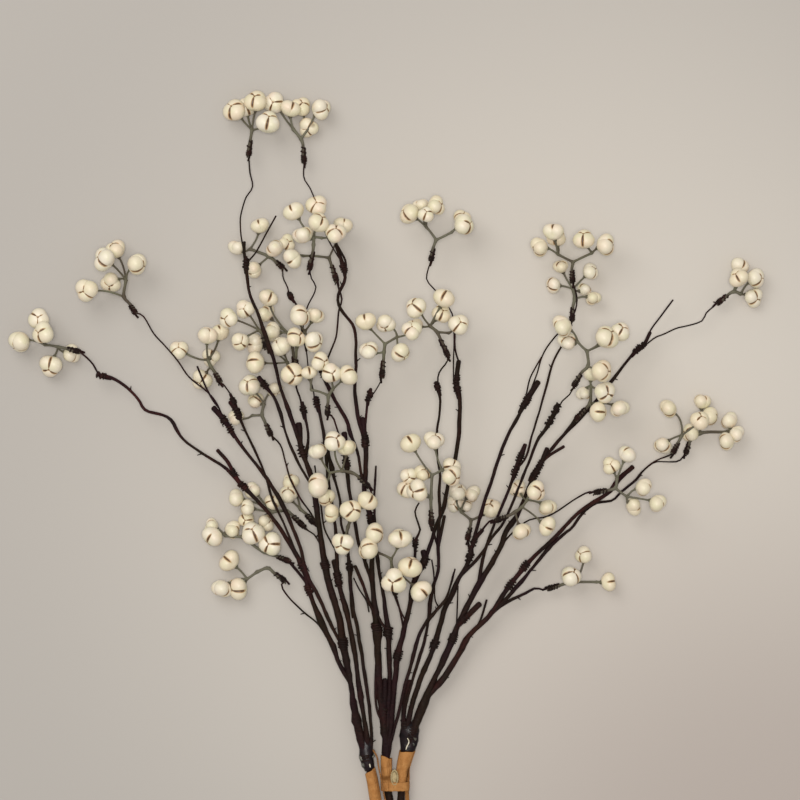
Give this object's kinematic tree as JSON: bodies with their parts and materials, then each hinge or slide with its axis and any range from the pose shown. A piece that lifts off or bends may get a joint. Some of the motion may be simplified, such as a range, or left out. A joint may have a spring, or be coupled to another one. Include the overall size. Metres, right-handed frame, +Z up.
{
  "type": "cotton stem bunch",
  "caption": "Bunch of dark wound stems that fan out from paper wraps into sprays of cream three-lobed bolls, lying flat.",
  "frame": {"origin": "on the surface that the bunch lies on, under the middle of its bounding box", "axes": "+X to the right across the fan, +Y along the stems from the cut ends towards the tips, +Z up, away from the surface"},
  "size_m": [0.4736, 0.6052, 0.0504],
  "materials": {
    "boll": "matte, dry and waxy",
    "stem": "satin, wound and knotted",
    "wrap": "matte, creased kraft paper",
    "tie": "matte cord"
  },
  "bodies": {
    "root": {"spray_back_crown": "boll", "spray_back_right": "boll", "spray_centre_back": "boll", "spray_centre_cluster": "boll", "spray_centre_front": "boll", "spray_centre_left": "boll", "spray_centre_side": "boll", "spray_cross_back": "boll", "spray_crown": "boll", "spray_edge_front": "boll", "spray_edge_right": "boll", "spray_far_left": "boll", "spray_far_right": "boll", "spray_front_middle": "boll", "spray_high_right": "boll", "spray_inner_front": "boll", "spray_low_cluster": "boll", "spray_low_front": "boll", "spray_lower_front": "boll", "spray_lower_left": "boll", "spray_lower_right": "boll", "spray_lower_row": "boll", "spray_mid_left": "boll", "spray_middle_low": "boll", "spray_middle_right": "boll", "spray_outer_right": "boll", "spray_pair": "boll", "spray_right_centre": "boll", "spray_right_front": "boll", "spray_right_high": "boll", "spray_right_low": "boll", "spray_side_crown": "boll", "spray_top_left": "boll", "spray_top_middle": "boll", "spray_upper_left": "boll", "spray_upper_right": "boll", "stem_left": "stem", "stem_middle": "stem", "stem_right": "stem", "tie_band": "tie", "tie_twine": "tie", "wrap_left": "wrap", "wrap_middle": "wrap", "wrap_right": "wrap"}
  },
  "joints": []
}
